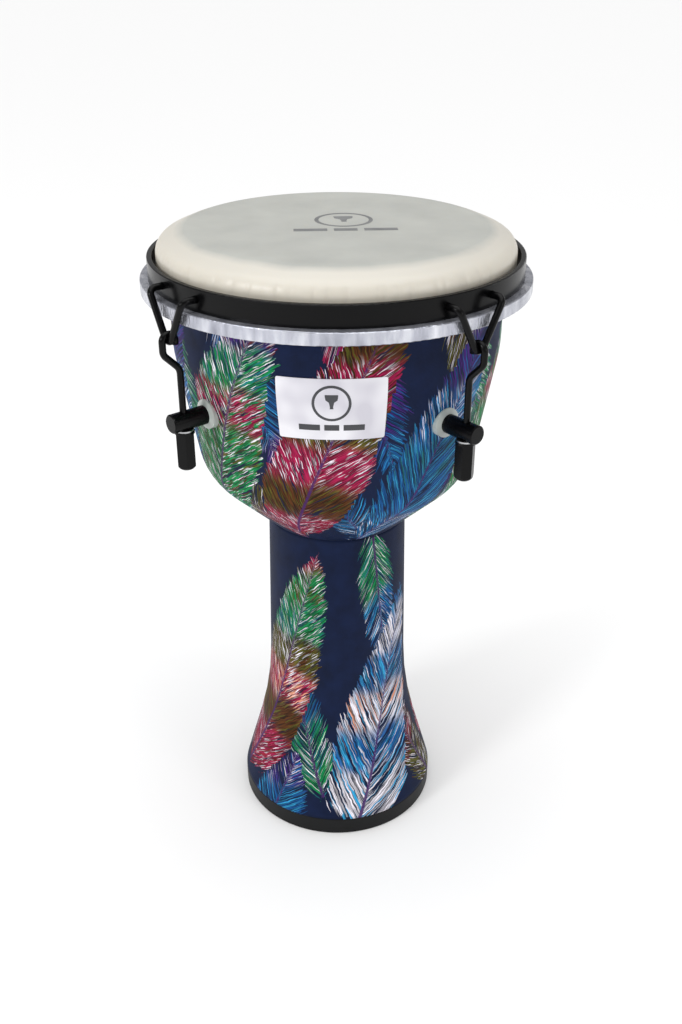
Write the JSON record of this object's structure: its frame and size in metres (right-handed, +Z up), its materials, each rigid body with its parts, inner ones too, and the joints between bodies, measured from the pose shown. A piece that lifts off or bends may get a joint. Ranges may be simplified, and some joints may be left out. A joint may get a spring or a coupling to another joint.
{
  "type": "djembe",
  "caption": "Goblet hand drum with a rod-tuned synthetic head, moulded shell wrapped in printed cloth, hooked claws on a steel hoop and a rubber foot ring.",
  "frame": {"origin": "middle of the rubber foot ring's underside, on the floor", "axes": "+Z up along the drum's axis towards the head; -Y towards the badge; lugs at 45 degrees to X and Y"},
  "size_m": [0.2784, 0.2784, 0.495],
  "materials": {
    "moulded_shell": "matte moulded composite",
    "printed_cloth": "woven cloth with a printed multicolour pattern on navy",
    "foot_rubber": "matte",
    "head_film": "coated film, satin",
    "black_steel": "black powder coat, satin",
    "hoop_channel": "bright rolled",
    "hoop_filling": "cast",
    "saddle_plastic": "clear moulded",
    "zinc_steel": "zinc plated",
    "badge_foil": "bright foil faced"
  },
  "bodies": {
    "shell": {"shell_bowl": "moulded_shell", "shell_stem": "moulded_shell", "bowl_fabric": "printed_cloth", "stem_fabric": "printed_cloth", "foot_rubber_ring": "foot_rubber", "drumhead": "head_film", "badge": "badge_foil", "lug_post_1": "black_steel", "lug_post_2": "black_steel", "lug_post_3": "black_steel", "lug_post_4": "black_steel", "lug_saddle_1": "saddle_plastic", "lug_saddle_2": "saddle_plastic", "lug_saddle_3": "saddle_plastic", "lug_saddle_4": "saddle_plastic", "lug_screw_1": "zinc_steel", "lug_screw_2": "zinc_steel", "lug_screw_3": "zinc_steel", "lug_screw_4": "zinc_steel", "backing_washer_1": "zinc_steel", "backing_washer_2": "zinc_steel", "backing_washer_3": "zinc_steel", "backing_washer_4": "zinc_steel", "nut_washer_1": "zinc_steel", "nut_washer_2": "zinc_steel", "nut_washer_3": "zinc_steel", "nut_washer_4": "zinc_steel"},
    "tension_hoop": {"counterhoop": "black_steel", "flesh_hoop": "hoop_channel", "hoop_resin": "hoop_filling", "claw_1": "black_steel", "claw_2": "black_steel", "claw_3": "black_steel", "claw_4": "black_steel", "tuning_rod_1": "black_steel", "tuning_rod_2": "black_steel", "tuning_rod_3": "black_steel", "tuning_rod_4": "black_steel"},
    "nut_1": {"tuning_nut_1": "black_steel"},
    "nut_2": {"tuning_nut_2": "black_steel"},
    "nut_3": {"tuning_nut_3": "black_steel"},
    "nut_4": {"tuning_nut_4": "black_steel"}
  },
  "joints": [
    {"name": "hoop_slide", "type": "slide", "parent": "shell", "child": "tension_hoop", "axis": [0, 0, 1], "range_m": [-0.0025, 0.0025]},
    {"name": "nut_1_turn", "type": "hinge", "parent": "shell", "child": "nut_1", "pos_m": [0.09546, -0.09546, 0.361], "axis": [0, 0, 1], "range_deg": [-903, 903]},
    {"name": "nut_2_turn", "type": "hinge", "parent": "shell", "child": "nut_2", "pos_m": [0.09546, 0.09546, 0.361], "axis": [0, 0, 1], "range_deg": [-903, 903]},
    {"name": "nut_3_turn", "type": "hinge", "parent": "shell", "child": "nut_3", "pos_m": [-0.09546, 0.09546, 0.361], "axis": [0, 0, 1], "range_deg": [-903, 903]},
    {"name": "nut_4_turn", "type": "hinge", "parent": "shell", "child": "nut_4", "pos_m": [-0.09546, -0.09546, 0.361], "axis": [0, 0, 1], "range_deg": [-903, 903]}
  ],
  "couplings": [
    {"joint": "nut_1_turn", "follows": "hoop_slide", "rad_per_m": -6283.2},
    {"joint": "nut_2_turn", "follows": "hoop_slide", "rad_per_m": -6283.2},
    {"joint": "nut_3_turn", "follows": "hoop_slide", "rad_per_m": -6283.2},
    {"joint": "nut_4_turn", "follows": "hoop_slide", "rad_per_m": -6283.2}
  ]
}
